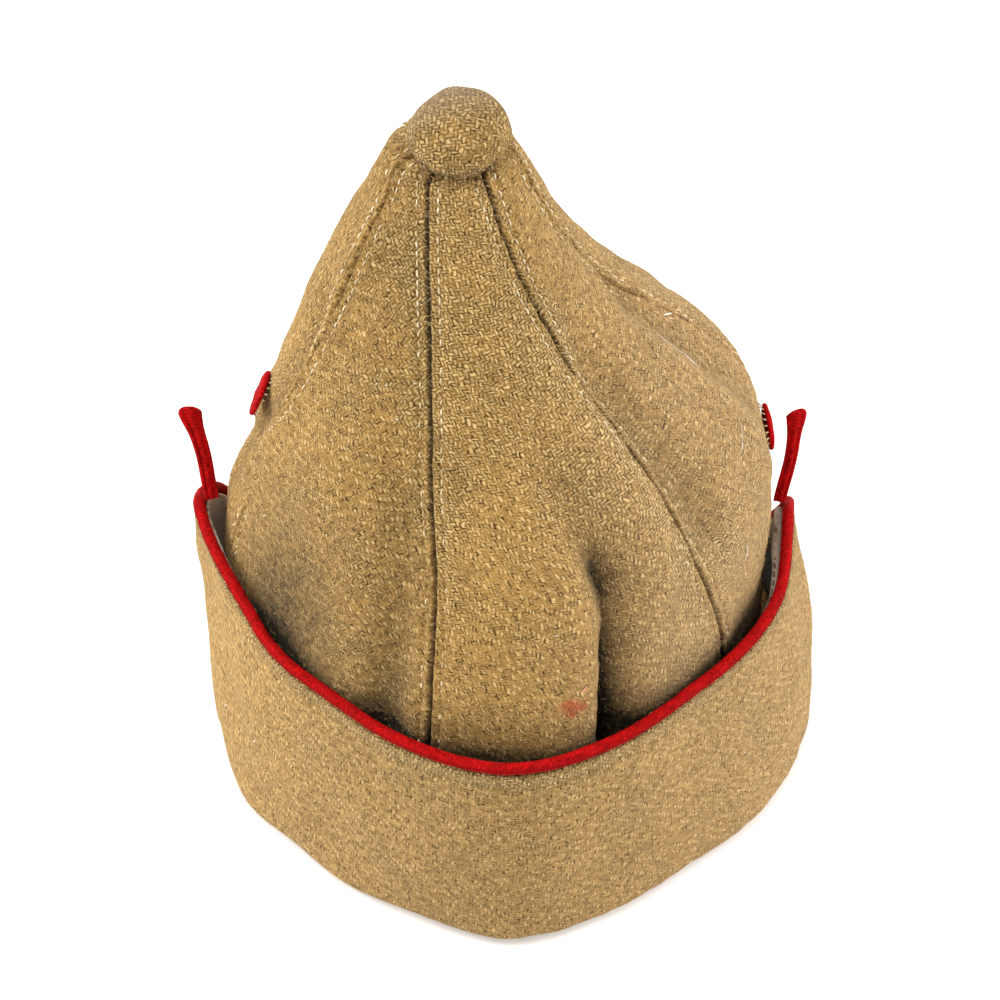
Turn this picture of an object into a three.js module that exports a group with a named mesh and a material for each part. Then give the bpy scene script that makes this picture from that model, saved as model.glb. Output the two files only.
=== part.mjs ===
// A budenovka: a peaked cloth cap that rises to a point, sewn from six gores,
// with its nape flap folded up around the back and sides.
// Millimetres, +Z up. The cap faces +Y and +X is the wearer's right side.
// Azimuth is in degrees from the middle of the back (-Y) toward +X.
import * as THREE from 'three';
import { mergeVertices } from 'three/addons/utils/BufferGeometryUtils.js';

// Centre of the head opening, from the middle of the cap's footprint
const HEAD = { x: 3.1, y: -15.1 };

const CLOTH = 2.4;
const LOOSE_GAP = 0.5;

// Horizontal sections of the crown, each made of two half ellipses that meet at centreX
const CROWN = [
  { z: 8, centreX: 0, back: -98, front: 98, left: -88, right: 83 },
  { z: 40, centreX: -2, back: -102, front: 102, left: -94, right: 84.5 },
  { z: 75, centreX: -5, back: -102, front: 102, left: -96.5, right: 85 },
  { z: 100, centreX: -4, back: -96, front: 94.5, left: -91.5, right: 85 },
  { z: 130, centreX: -3, back: -81, front: 80, left: -80.5, right: 79 },
  { z: 155, centreX: -8, back: -60, front: 64.5, left: -72, right: 54 },
  { z: 175, centreX: -11, back: -41, front: 57.5, left: -64, right: 30 },
  { z: 195, centreX: -14, back: -22, front: 52, left: -54.5, right: 15.5 },
  { z: 210, centreX: -16, back: -6, front: 48.5, left: -45.5, right: 7 },
  { z: 218, centreX: -16.5, back: 3, front: 46.5, left: -41.5, right: 2.8 },
  { z: 222, centreX: -17, back: 9, front: 45, left: -38.5, right: 0 },
  { z: 224.5, centreX: -17, back: 15.5, front: 38.5, left: -30.5, right: -4.5 },
  { z: 225.5, centreX: -17, back: 22, front: 31, left: -22, right: -12.5 },
];

// Azimuth of each seam between two gores
const SEAMS = [
  { z: 8, frontLeft: -136, left: -76, backLeft: -14, backRight: 56, right: 108, frontRight: 162 },
  { z: 84, frontLeft: -136, left: -80, backLeft: -14, backRight: 54, right: 108, frontRight: 162 },
  { z: 128, frontLeft: -136, left: -84, backLeft: -16, backRight: 45.5, right: 107, frontRight: 161 },
  { z: 151, frontLeft: -136, left: -74, backLeft: -16, backRight: 47, right: 109, frontRight: 160 },
  { z: 174, frontLeft: -136, left: -66, backLeft: -16, backRight: 46, right: 103, frontRight: 159 },
  { z: 199, frontLeft: -135, left: -60, backLeft: -18, backRight: 39, right: 90, frontRight: 158 },
  { z: 222, frontLeft: -134, left: -60, backLeft: -25, backRight: 29, right: 82, frontRight: 156 },
];

// Ridges (+) and creases (-) of the crown, each along a line from az0, z0 to az1, z1,
// with its rise at both ends and its spread to the left and right of that line
const FOLDS = [
  { az0: 21.5, z0: 66, az1: 21.5, z1: 131, rise0: -19, rise1: -5.5, left: 4, right: 10 },
  { az0: 22, z0: 131, az1: 19, z1: 170, rise0: -4.5, rise1: -1, left: 7, right: 10 },
  { az0: 12, z0: 78, az1: 15, z1: 130, rise0: 3.5, rise1: 2, left: 14, right: 8 },
  { az0: 51, z0: 128, az1: 53, z1: 177, rise0: -4.5, rise1: -3, left: 8, right: 10 },
  { az0: 36, z0: 122, az1: 44, z1: 180, rise0: 3, rise1: 2, left: 14, right: 6 },
  { az0: -24, z0: 78, az1: -24, z1: 150, rise0: -5, rise1: -2.5, left: 12, right: 10 },
  { az0: 96, z0: 168, az1: 95, z1: 128, rise0: -4.5, rise1: -3.5, left: 10, right: 8 },
  { az0: 88, z0: 172, az1: 82, z1: 118, rise0: 2.5, rise1: 1.2, left: 7, right: 8 },
  { az0: -74, z0: 178, az1: -97, z1: 114, rise0: -3.5, rise1: -4.5, left: 9, right: 7 },
  { az0: -60, z0: 205, az1: -83, z1: 118, rise0: 2.5, rise1: 3, left: 6, right: 9 },
  { az0: -53, z0: 25, az1: -56, z1: 95, rise0: -5, rise1: -7, left: 35, right: 35 },
  { az0: -120, z0: 92, az1: -84, z1: 103, rise0: -5.5, rise1: -2, left: 9, right: 8 },
  { az0: 150, z0: 120, az1: 190, z1: 150, rise0: -3, rise1: -2, left: 12, right: 12 },
  { az0: 137, z0: 152, az1: 131, z1: 130, rise0: -3, rise1: -2, left: 9, right: 9 },
  { az0: -150, z0: 70, az1: -160, z1: 130, rise0: -3, rise1: -2, left: 12, right: 14 },
];

// Radius of the folded-up flap at its fold and at its free edge
const FLAP = [
  { az: -120, fold: 103, edge: 104 },
  { az: -92, fold: 102.7, edge: 106.8 },
  { az: -80, fold: 104, edge: 102.4 },
  { az: -65, fold: 107.6, edge: 99.5 },
  { az: -50, fold: 109.7, edge: 101.7 },
  { az: -35, fold: 110.3, edge: 102.8 },
  { az: -18, fold: 114.7, edge: 109.4 },
  { az: 0, fold: 120, edge: 114.4 },
  { az: 18, fold: 113.4, edge: 107.9 },
  { az: 35, fold: 108, edge: 100.8 },
  { az: 50, fold: 108.3, edge: 99.2 },
  { az: 65, fold: 108, edge: 98 },
  { az: 80, fold: 105.5, edge: 94.7 },
  { az: 92, fold: 103.2, edge: 94.7 },
  { az: 120, fold: 103, edge: 97 },
];

// Azimuth of the flap's front edges at each height
const FLAP_END = [
  { z: 0, az: 118 },
  { z: 30, az: 114 },
  { z: 60, az: 103 },
  { z: 74, az: 96.5 },
  { z: 80, az: 93 },
  { z: 82.7, az: 88.5 },
];
const LEFT_END_LONGER = 3;

// Section of the fold: out runs from the crown's edge (0) to the flap's wall (1)
const FOLD_SECTION = [
  { out: 0, z: 7.65 },
  { out: 0, z: 4 },
  { out: 0.12, z: 1.2 },
  { out: 0.3, z: 0 },
  { out: 0.66, z: 0 },
  { out: 0.88, z: 1.6 },
  { out: 0.99, z: 7 },
];
const WALL = { rows: 5, top: 82.7, bow: 1.6 };
const FLAP_ROWS = FOLD_SECTION.length - 1 + WALL.rows;

// Thickness of the flannel inside the flap: it puffs out near the right end
const FLANNEL = [
  { az: -120, thick: 1.4 },
  { az: -40, thick: 1.15 },
  { az: 58, thick: 1.3 },
  { az: 80, thick: 3.4 },
  { az: 97, thick: 3 },
  { az: 120, thick: 1.6 },
];
const FLANNEL_FIRST_ROW = 5;
const FLANNEL_GAP = 0.95;

const PIPING = { radius: 2, sides: 6, steps: 76, firstRow: 6, edgePoints: 24 };
const KNOB = { x: -17, y: 25.2, z: 226.7, tilt: 8, longer: 1.07 };
const SIDE_BUTTON = { left: { az: -101, z: 122.5, lift: 2.7 }, right: { az: 99, z: 109, lift: 1.4 } };
const LOOP_LEFT = { base: [-101, 3, 86.8], tip: [-108.4, 21.2, 111.2] };
const LOOP_RIGHT = { base: [90.2, 3, 85.4], tip: [95.6, 20.5, 110.5] };
const LOOP_CORD = { radius: 1.25, sides: 6, steps: 26 };

// A strand's distance from the middle of its loop, by its share of the way to the tip
const LOOP_STRAND = [
  { share: 0, side: 1.4 },
  { share: 0.3, side: 1.4 },
  { share: 0.6, side: 1.4 },
  { share: 0.8, side: 2 },
  { share: 0.93, side: 2.5 },
  { share: 1.02, side: 1.5 },
  { share: 1.05, side: 0 },
];

const PEAK = { halfAngle: 54, depth: 54, ends: 5, thick: 3.4, rootTop: 7.6, tipTop: 4, camber: 2.4 };

// Cells of each cloth sheet and sides of each button
const FLAP_COLUMNS = 38;
const PEAK_CELLS = { columns: 20, rows: 6 };
const BUTTON_SIDES = { top: 20, side: 14 };

const COLOUR = { wool: 0xc3a167, felted: 0xcbab75, red: 0xc31a1c, flannel: 0xaf9b8c };
const RAD = Math.PI / 180;
const { clamp, lerp, euclideanModulo } = THREE.MathUtils;

// Smooth curve through one column of a table, read at a value of its key column
function along(rows, key, column, at) {
  const last = rows.length - 1;
  let i = 0;
  while (i < last - 1 && at > rows[i + 1][key]) i += 1;
  const slope = (j) => {
    const a = rows[Math.max(j - 1, 0)];
    const b = rows[Math.min(j + 1, last)];
    return (b[column] - a[column]) / (b[key] - a[key]);
  };
  const from = rows[i];
  const to = rows[i + 1];
  const step = to[key] - from[key];
  const t = clamp((at - from[key]) / step, 0, 1);
  const t2 = t * t;
  const t3 = t2 * t;
  return (2 * t3 - 3 * t2 + 1) * from[column] + (t3 - 2 * t2 + t) * step * slope(i)
    + (3 * t2 - 2 * t3) * to[column] + (t3 - t2) * step * slope(i + 1);
}

function around(az, r, z) {
  return new THREE.Vector3(r * Math.sin(az * RAD), -r * Math.cos(az * RAD), z);
}

// Place on the plain crown, before its folds
function crownBase(az, z) {
  const [centreX, back, front, left, right] = ['centreX', 'back', 'front', 'left', 'right']
    .map((column) => along(CROWN, 'z', column, z));
  const side = Math.sin(az * RAD);
  const half = side > 0 ? right - centreX : centreX - left;
  const y = (back + front) / 2 - (front - back) / 2 * Math.cos(az * RAD);
  return new THREE.Vector3(centreX + half * side, y, z);
}

function crownAcross(az, z) {
  return crownBase(az + 1, z).sub(crownBase(az - 1, z));
}

function crownNormal(az, z) {
  const rise = crownBase(az, z + 0.5).sub(crownBase(az, z - 0.5));
  return crownAcross(az, z).cross(rise).normalize();
}

// Height of the cloth over the plain crown
function foldHeight(az, z) {
  const mmPerDegree = crownAcross(az, z).length() / 2;
  let height = 0;
  for (const fold of FOLDS) {
    const shift = euclideanModulo(az - fold.az0 + 180, 360) - 180;
    const run = new THREE.Vector2((fold.az1 - fold.az0) * mmPerDegree, fold.z1 - fold.z0);
    const here = new THREE.Vector2(shift * mmPerDegree, z - fold.z0);
    const t = clamp(here.dot(run) / run.lengthSq(), 0, 1);
    const off = here.sub(run.clone().multiplyScalar(t));
    const away = off.length();
    const side = Math.sign(run.y) * off.cross(run) / (Math.max(away, 0.01) * run.length());
    const spread = lerp(fold.left, fold.right, 0.5 + 0.5 * side);
    height += lerp(fold.rise0, fold.rise1, t) * Math.exp(-((away / spread) ** 2));
  }
  return height;
}

// Place in the crown's cloth, at a depth below its outer face
function crownPoint(az, z, depth) {
  const out = crownNormal(az, z).multiplyScalar(foldHeight(az, z) - depth);
  return crownBase(az, z).add(out);
}

// A closed sheet of cells, whose points are placed by u and v, from 0 to 1 over the sheet,
// and w, 0 on its outer face and 1 on its inner face
function sheet(columns, rows, place) {
  const box = new THREE.BoxGeometry(1, 1, 1, columns, rows, 1);
  box.deleteAttribute('normal');
  box.deleteAttribute('uv');
  const body = mergeVertices(box);
  const points = body.getAttribute('position');
  for (let i = 0; i < points.count; i += 1) {
    const p = place(points.getX(i) + 0.5, points.getY(i) + 0.5, 0.5 - points.getZ(i));
    points.setXYZ(i, p.x, p.y, p.z);
  }
  body.computeVertexNormals();
  return body;
}

function piece(name, geometry, color) {
  const cloth = new THREE.MeshStandardMaterial({ color, roughness: 0.95, metalness: 0 });
  const mesh = new THREE.Mesh(geometry, cloth);
  mesh.name = name;
  return mesh;
}

// One gore between two seams: a soft pillow with its long edges turned in
function gore(name, from, to, columns) {
  const rows = 22;
  const turnIn = 1.2;
  const pillow = 1.4;
  const edgeColumn = 0.07;
  const bottom = CROWN[0].z;
  const top = CROWN[CROWN.length - 1].z;
  return piece(name, sheet(columns, rows, (u, v, w) => {
    const z = lerp(bottom, top, Math.sin(v * Math.PI / 2));
    const start = along(SEAMS, 'z', from, z);
    const width = euclideanModulo(along(SEAMS, 'z', to, z) - start, 360);
    const atSeam = u < 0.001 || u > 0.999;
    const inside = lerp(edgeColumn, 1 - edgeColumn, (u * columns - 1) / (columns - 2));
    const part = atSeam ? Math.round(u) : inside;
    const az = start + width * part;
    const puff = (atSeam ? -turnIn : pillow * Math.sin(part * Math.PI)) * Math.sin(v * Math.PI);
    const toMiddle = crownAcross(az, z).normalize().multiplyScalar((0.5 - part) * LOOSE_GAP);
    return crownPoint(az, z, w * CLOTH - puff).add(toMiddle);
  }), COLOUR.wool);
}

// Inner radius of the crown's lower edge, from the head's centre
function rimRadius(az) {
  const rim = crownPoint(az, CROWN[0].z, CLOTH);
  return Math.hypot(rim.x, rim.y);
}

// The flap's outer face at one azimuth, from the crown's edge, under the fold and up
function flapSection(az) {
  const rim = rimRadius(az);
  const fold = along(FLAP, 'az', 'fold', az);
  const edge = along(FLAP, 'az', 'edge', az);
  const section = FOLD_SECTION.map(({ out, z }) => new THREE.Vector2(lerp(rim, fold, out), z));
  const start = section[section.length - 1].y;
  for (let i = 1; i <= WALL.rows; i += 1) {
    const t = i / WALL.rows;
    const r = lerp(fold, edge, t) + WALL.bow * Math.sin(t * Math.PI);
    section.push(new THREE.Vector2(r, lerp(start, WALL.top, t)));
  }
  return section;
}

// Place in the flap: u from the left front edge to the right one, a whole row of its section,
// and a depth toward the head
function flapPoint(u, row, depthAt) {
  const end = along(FLAP_END, 'z', 'az', flapSection(0)[row].y);
  const az = lerp(-end - LEFT_END_LONGER, end, u);
  const section = flapSection(az);
  const before = section[Math.max(row - 1, 0)];
  const after = section[Math.min(row + 1, FLAP_ROWS)];
  const run = after.clone().sub(before).normalize();
  const depth = depthAt(az);
  return around(az, section[row].x - run.y * depth, section[row].y + run.x * depth);
}

function flapCloth() {
  return piece('flap_cloth', sheet(FLAP_COLUMNS, FLAP_ROWS, (u, v, w) => (
    flapPoint(u, Math.round(v * FLAP_ROWS), () => w * CLOTH))), COLOUR.felted);
}

// The flannel that lines the inside of the folded-up wall
function flapLining() {
  const rows = FLAP_ROWS - FLANNEL_FIRST_ROW;
  const depthIn = (w) => (az) => CLOTH + FLANNEL_GAP + w * along(FLANNEL, 'az', 'thick', az);
  return piece('flap_lining', sheet(FLAP_COLUMNS, rows, (u, v, w) => (
    flapPoint(u, FLANNEL_FIRST_ROW + Math.round(v * rows), depthIn(w)))), COLOUR.flannel);
}

// A round cord along a curve
function cord(name, points, { radius, sides, steps, closed = false }, color) {
  const ring = new THREE.Shape();
  for (let i = 0; i <= sides; i += 1) {
    const turn = i / sides * 2 * Math.PI;
    const corner = [radius * Math.cos(turn), radius * Math.sin(turn)];
    if (i === 0) ring.moveTo(...corner);
    else if (i < sides) ring.lineTo(...corner);
  }
  const extrudePath = new THREE.CatmullRomCurve3(points, closed, 'centripetal');
  const tube = new THREE.ExtrudeGeometry(ring, { steps, extrudePath, bevelEnabled: false });
  return piece(name, tube, color);
}

// The piping follows the flap's free edge: up one front edge, round the back, down the other
function flapPiping() {
  const { radius, firstRow, edgePoints } = PIPING;
  const edge = [];
  for (let row = firstRow; row < FLAP_ROWS; row += 1) edge.push([0, row]);
  for (let i = 0; i <= edgePoints; i += 1) edge.push([i / edgePoints, FLAP_ROWS]);
  for (let row = FLAP_ROWS - 1; row >= firstRow; row -= 1) edge.push([1, row]);
  const middle = edge.map(([u, row]) => flapPoint(u, row, () => CLOTH / 2));
  const route = middle.map((p, i) => {
    const [u, row] = edge[i];
    const out = flapPoint(u, row, () => -1).sub(flapPoint(u, row, () => 0));
    const run = middle[Math.min(i + 1, middle.length - 1)].clone().sub(middle[Math.max(i - 1, 0)]);
    return p.clone().addScaledVector(out.cross(run).normalize(), radius + LOOSE_GAP);
  });
  return cord('flap_piping', route, PIPING, COLOUR.red);
}

// A covered button, turned about +Z, with its underside at z = 0
function button(name, profile, sides) {
  const turned = new THREE.LatheGeometry(profile.map(([r, z]) => new THREE.Vector2(r, z)), sides);
  turned.rotateX(Math.PI / 2);
  return piece(name, turned, COLOUR.red);
}

function topButton() {
  const profile = [
    [0, -5], [2.2, -5], [2.2, 0], [12, 0.2], [15, 0.9], [16.3, 3.4],
    [15.6, 6.6], [12.5, 9.6], [7, 11.5], [0, 12.2],
  ];
  const knob = button('top_button', profile, BUTTON_SIDES.top);
  knob.material.color.set(COLOUR.wool);
  knob.geometry.scale(1, KNOB.longer, 1);
  knob.position.set(KNOB.x, KNOB.y, KNOB.z);
  knob.rotation.x = KNOB.tilt * RAD;
  return knob;
}

function sideButton(name, { az, z, lift }) {
  const profile = [[0, 0], [7.4, 0], [8, 0.7], [7.5, 1.6], [5, 2.1], [0, 2.3]];
  const disc = button(name, profile, BUTTON_SIDES.side);
  const out = crownNormal(az, z);
  disc.position.copy(crownPoint(az, z, 0)).addScaledVector(out, lift);
  disc.quaternion.setFromUnitVectors(new THREE.Vector3(0, 0, 1), out);
  return disc;
}

// A loop of red cord: two strands side by side that open into a small eye at the tip
function loop(name, { base, tip }) {
  const start = new THREE.Vector3(...base);
  const run = new THREE.Vector3(...tip).sub(start);
  const across = new THREE.Vector3(1, 0, 0).addScaledVector(run, -run.x / run.lengthSq()).normalize();
  const back = LOOP_STRAND.slice(0, -1).reverse().map(({ share, side }) => ({ share, side: -side }));
  const points = [...LOOP_STRAND, ...back].map(({ share, side }) => (
    start.clone().addScaledVector(run, share).addScaledVector(across, side)));
  return cord(name, points, LOOP_CORD, COLOUR.red);
}

// The stiff cloth peak, rooted under the front of the crown
function peak() {
  const { halfAngle, depth, ends, thick, rootTop, tipTop, camber } = PEAK;
  const { columns, rows } = PEAK_CELLS;
  return piece('peak', sheet(columns, rows, (u, v, w) => {
    const az = 180 + lerp(halfAngle, -halfAngle, u);
    const reach = ends + (depth - ends) * Math.sin(u * Math.PI);
    const bulge = camber * Math.sin(v * Math.PI) ** 2 * Math.sin(u * Math.PI);
    return around(az, rimRadius(az) + reach * v, lerp(rootTop, tipTop, v) + bulge - thick * w);
  }), COLOUR.felted);
}

const cap = new THREE.Group();
cap.add(
  gore('gore_back', 'backLeft', 'backRight', 13),
  gore('gore_back_left', 'left', 'backLeft', 8),
  gore('gore_back_right', 'backRight', 'right', 8),
  gore('gore_front_left', 'frontLeft', 'left', 8),
  gore('gore_front', 'frontRight', 'frontLeft', 8),
  gore('gore_front_right', 'right', 'frontRight', 8),
  topButton(),
  flapCloth(),
  flapLining(),
  flapPiping(),
  loop('loop_left', LOOP_LEFT),
  loop('loop_right', LOOP_RIGHT),
  sideButton('side_button_left', SIDE_BUTTON.left),
  sideButton('side_button_right', SIDE_BUTTON.right),
  peak(),
);
cap.position.set(HEAD.x, HEAD.y, 0);

export default cap;
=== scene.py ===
# A budenovka, a peaked cloth cap with its nape flap folded up, as worn and milled wool.
# Tables and formulas are in millimetres from the middle of the head opening, +Z up. The cap
# faces +Y, +X is the wearer's right, and azimuth is in degrees from the middle of the back
# (-Y) toward +X. Each mesh is turned to metres in the row frame when it is made.
from collections import namedtuple

import bpy
import numpy as np
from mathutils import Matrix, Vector


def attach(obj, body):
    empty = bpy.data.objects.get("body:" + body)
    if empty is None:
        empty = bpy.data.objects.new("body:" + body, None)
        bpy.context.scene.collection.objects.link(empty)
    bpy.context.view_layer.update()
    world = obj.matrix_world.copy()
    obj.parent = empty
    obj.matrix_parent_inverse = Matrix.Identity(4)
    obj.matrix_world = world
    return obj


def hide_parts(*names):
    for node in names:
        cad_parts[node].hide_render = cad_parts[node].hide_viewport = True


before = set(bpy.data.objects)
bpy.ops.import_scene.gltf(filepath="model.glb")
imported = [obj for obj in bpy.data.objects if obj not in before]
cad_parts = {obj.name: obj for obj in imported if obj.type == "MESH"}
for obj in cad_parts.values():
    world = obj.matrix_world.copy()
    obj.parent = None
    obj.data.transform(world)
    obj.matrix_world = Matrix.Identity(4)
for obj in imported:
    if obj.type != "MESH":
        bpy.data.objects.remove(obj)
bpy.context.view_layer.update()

METRE = 0.001
# Middle of the head opening in the row frame
HEAD = np.array([3.1, -15.1, 0.0])
# Thickness of the woollen cloth
CLOTH = 2.4
# A direction that no thread runs along
ASKEW = np.array([0.31, 0.45, 0.84])
chance = np.random.default_rng(1919)

Fold = namedtuple("Fold", "az0 z0 az1 z1 rise0 rise1 left right")
Lip = namedtuple("Lip", "az0 z0 az1 z1 shift0 shift1 spread")
Spot = namedtuple("Spot", "az z reach amount")
Part = namedtuple("Part", "points faces values")
Skin = namedtuple("Skin", "az z points out")
Gore = namedtuple("Gore", "node start end cell turn felt grime spots")


def columns(names, rows):
    """A table's columns by name."""
    return dict(zip(names.split(), np.array(rows, float).T))


# Horizontal sections of the crown, each made of two half ellipses that meet at centre
CROWN = columns("z centre back front left right", [
    (8, 0, -98, 98, -88, 83),
    (40, -2, -102, 102, -94, 84.5),
    (75, -5, -102, 102, -96.5, 85),
    (100, -4, -96, 94.5, -91.5, 85),
    (130, -3, -81, 80, -80.5, 79),
    (155, -8, -60, 64.5, -72, 54),
    (175, -11, -41, 57.5, -64, 30),
    (195, -14, -22, 52, -54.5, 15.5),
    (210, -16, -6, 48.5, -45.5, 7),
    (218, -16.5, 3, 46.5, -41.5, 2.8),
    (222, -17, 9, 45, -38.5, 0),
    (224.5, -17, 15.5, 38.5, -30.5, -4.5),
    (225.5, -17, 22, 31, -22, -12.5),
])

# Azimuth of each seam between two gores
SEAMS = columns("z front_left left back_left back_right right front_right", [
    (8, -136, -76, -14, 56, 108, 162),
    (84, -136, -80, -14, 54, 108, 162),
    (128, -136, -84, -16, 45.5, 107, 161),
    (151, -136, -74, -16, 47, 109, 160),
    (174, -136, -66, -16, 46, 103, 159),
    (199, -135, -60, -18, 39, 90, 158),
    (222, -134, -60, -25, 29, 82, 156),
])

# Ridges (+) and creases (-) of the crown, each along a line, with its rise at both ends
# and its spread to the left and right of that line
FOLDS = [
    Fold(21.5, 66, 21.5, 131, -19, -5.5, 4, 10),
    Fold(22, 131, 19, 170, -4.5, -1, 7, 10),
    Fold(12, 78, 15, 130, 3.5, 2, 14, 8),
    Fold(51, 128, 53, 177, -4.5, -3, 8, 10),
    Fold(36, 122, 44, 180, 3, 2, 14, 6),
    Fold(-24, 78, -24, 150, -5, -2.5, 12, 10),
    Fold(96, 168, 95, 128, -4.5, -3.5, 10, 8),
    Fold(88, 172, 82, 118, 2.5, 1.2, 7, 8),
    Fold(-74, 178, -97, 114, -3.5, -4.5, 9, 7),
    Fold(-60, 205, -83, 118, 2.5, 3, 6, 9),
    Fold(-53, 25, -56, 95, -5, -7, 35, 35),
    Fold(-120, 92, -84, 103, -5.5, -2, 9, 8),
    Fold(150, 120, 190, 150, -3, -2, 12, 12),
    Fold(137, 152, 131, 130, -3, -2, 9, 9),
    Fold(-150, 70, -160, 130, -3, -2, 12, 14),
]

# Where a fold of the crown leans over its crease: cloth moves toward +azimuth (+)
LIPS = [
    Lip(18.5, 66, 20.5, 122, 4.5, 1.5, 5),
]

# Radius of the folded-up flap at its fold and at its free edge
FLAP = columns("az fold edge", [
    (-120, 103, 104),
    (-92, 102.7, 106.8),
    (-80, 104, 102.4),
    (-65, 107.6, 99.5),
    (-50, 109.7, 101.7),
    (-35, 110.3, 102.8),
    (-18, 114.7, 109.4),
    (0, 120, 114.4),
    (18, 113.4, 107.9),
    (35, 108, 100.8),
    (50, 108.3, 99.2),
    (65, 108, 98),
    (80, 105.5, 94.7),
    (92, 103.2, 94.7),
    (120, 103, 97),
])

# Azimuth of the flap's front edges at each height
FLAP_END = columns("z az", [
    (0, 118),
    (30, 114),
    (60, 103),
    (74, 96.5),
    (80, 93),
    (82.7, 88.5),
])
LEFT_END_LONGER = 3

# Rows of the flap's section, from the crown's edge, under the fold and up its wall: shares
# of the rim's, the fold's and the edge's radius, share of the wall's bow, and height
WALL_BOW = 1.6
FLAP_ROWS = 11
SECTION = columns("row rim fold edge bow z", [
    (0, 1, 0, 0, 0, 7.65),
    (1, 1, 0, 0, 0, 4),
    (2, 0.88, 0.12, 0, 0, 1.2),
    (3, 0.7, 0.3, 0, 0, 0),
    (4, 0.34, 0.66, 0, 0, 0),
    (5, 0.12, 0.88, 0, 0, 1.6),
    (6, 0.01, 0.99, 0, 0, 7),
] + [
    (6 + 5 * t, 0, 1 - t, t, np.sin(t * np.pi), 7 + 75.7 * t) for t in (0.2, 0.4, 0.6, 0.8, 1)
])

# Thickness of the flannel inside the flap: it puffs out near the right end
FLANNEL = columns("az thick", [
    (-120, 1.4),
    (-40, 1.15),
    (58, 1.3),
    (80, 3.4),
    (97, 3),
    (120, 1.6),
])
FLANNEL_FIRST_ROW = 5
FLANNEL_GAP = 0.95

# Soft dents and bulges of the flap's wall, as for the crown
FLAP_FOLDS = [
    Fold(92, 66, 70, 30, -1.4, -0.4, 6, 5),
    Fold(86, 40, 74, 12, 1.2, 0.6, 14, 14),
    Fold(-80, 60, -40, 20, -1.0, -0.6, 14, 14),
    Fold(20, 40, 60, 52, -0.8, -0.6, 15, 15),
    Fold(-25, 50, 5, 44, 0.7, 0.6, 16, 16),
]

# A smear of red paint low on the middle gore
PAINT = [
    Spot(13.2, 96.4, 2.6, 1.0),
    Spot(15.6, 95.2, 2.2, 0.9),
    Spot(13.8, 92.6, 1.8, 0.7),
    Spot(16.4, 89.6, 1.2, 0.5),
]

# The gores: their two seams, the size of their mesh's cells, the turn of their weave from the
# horizontal in degrees, how far they have felted from 0 to 1, their grime, and spots that
# have felted more (+) or less (-)
GORES = [
    Gore("gore_back_left", "left", "back_left", 1, 50, 0.7, 0.13, [Spot(-45, 205, 34, -0.35)]),
    Gore("gore_back", "back_left", "back_right", 1, 7, 0.15, 0, [
        Spot(5, 85, 50, 0.75), Spot(10, 140, 24, 0.25)]),
    Gore("gore_back_right", "back_right", "right", 1, -62, 0.75, 0, [
        Spot(55, 115, 16, -0.35), Spot(60, 215, 20, 0.3)]),
    Gore("gore_front_left", "front_left", "left", 1.5, 0, 0.6, 0.05, []),
    Gore("gore_front", "front_right", "front_left", 1.5, 0, 0.5, 0, []),
    Gore("gore_front_right", "right", "front_right", 1.5, 0, 0.5, 0, []),
]

# How deep each seam lies: those at the sides have felted over
SEAM_DEPTHS = {
    "left": 0.5, "back_left": 1.5, "back_right": 1.7, "right": 0.7, "front_left": 1.4, "front_right": 1.4,
}
SEAM_WIDTH = 0.42

# Topstitching, and by height the share of its stitches that is lost and how deep they sink
STITCH_FROM_SEAM = 3.5
STITCH_PITCH = 3.2
STITCH_LENGTH = 2.3
THREAD = 0.3
SEAM_STITCHES = columns("z lost sunk", [
    (8, 0.6, 0.25),
    (120, 0.6, 0.25),
    (160, 0.4, 0.15),
    (200, 0.1, -0.05),
    (226, 0.1, -0.05),
])
PEAK_STITCHES = columns("z lost sunk", [(0, 0.03, 0.05), (20, 0.03, 0.05)])

# Lengths round the head that set the size of the mesh's cells
FLAP_LENGTH = 470
FLANNEL_LENGTH = 440

PIPING_RADIUS = 2.0
PIPING_CORNERS = 18

# The top button: its place, its tilt in degrees, how much longer than wide it is, and the
# radius and height of its section
KNOB = np.array([-17, 25.2, 226.7])
KNOB_TILT = 8
KNOB_LONGER = 1.07
KNOB_SIDES = 150
KNOB_TOP = 12.3
KNOB_SECTION = [
    (0, -5, 0), (2.2, -5, 0), (2.4, -1, 0), (8, 0.1, 0), (13, 0.3, 0), (15.4, 1.3, 0), (16.3, 3.6, 0),
    (15.7, 6.4, 0), (12.6, 9.5, 0), (7, 11.6, 0), (0, KNOB_TOP, 0),
]

# Azimuth, height and distance from the plain crown of each side button
SIDE_BUTTONS = {"side_button_left": (-101, 122.5, 2.7), "side_button_right": (99, 109, 1.4)}
BUTTON_SECTION = [(0, 0, 0), (7.2, 0.05, 0), (8, 0.7, 0), (7.5, 1.6, 0), (5, 2.1, 0), (0, 2.3, 0)]
BUTTON_SIDES = 40

# Where each loop is sewn on, its tip, its width over the usual one and the slant of its cut
# end, and the section of a loop along its length
LOOPS = {
    "loop_left": ((-101, 3, 86.8), (-108.4, 21.2, 111.2), 1.0, -0.22),
    "loop_right": ((90.2, 3, 85.4), (95.6, 20.5, 110.5), 0.85, 0.5),
}
LOOP_CORNERS = 40
LOOP_SECTION = columns("at half thick groove", [
    (0, 2.5, 1.5, 0.8),
    (0.3, 2.55, 1.5, 0.8),
    (0.6, 2.65, 1.5, 0.8),
    (0.74, 2.9, 1.6, 0.7),
    (0.86, 3.6, 1.8, 0.5),
    (0.94, 4, 2.2, 0.3),
    (1, 3.7, 2.4, 0.1),
])

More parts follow.
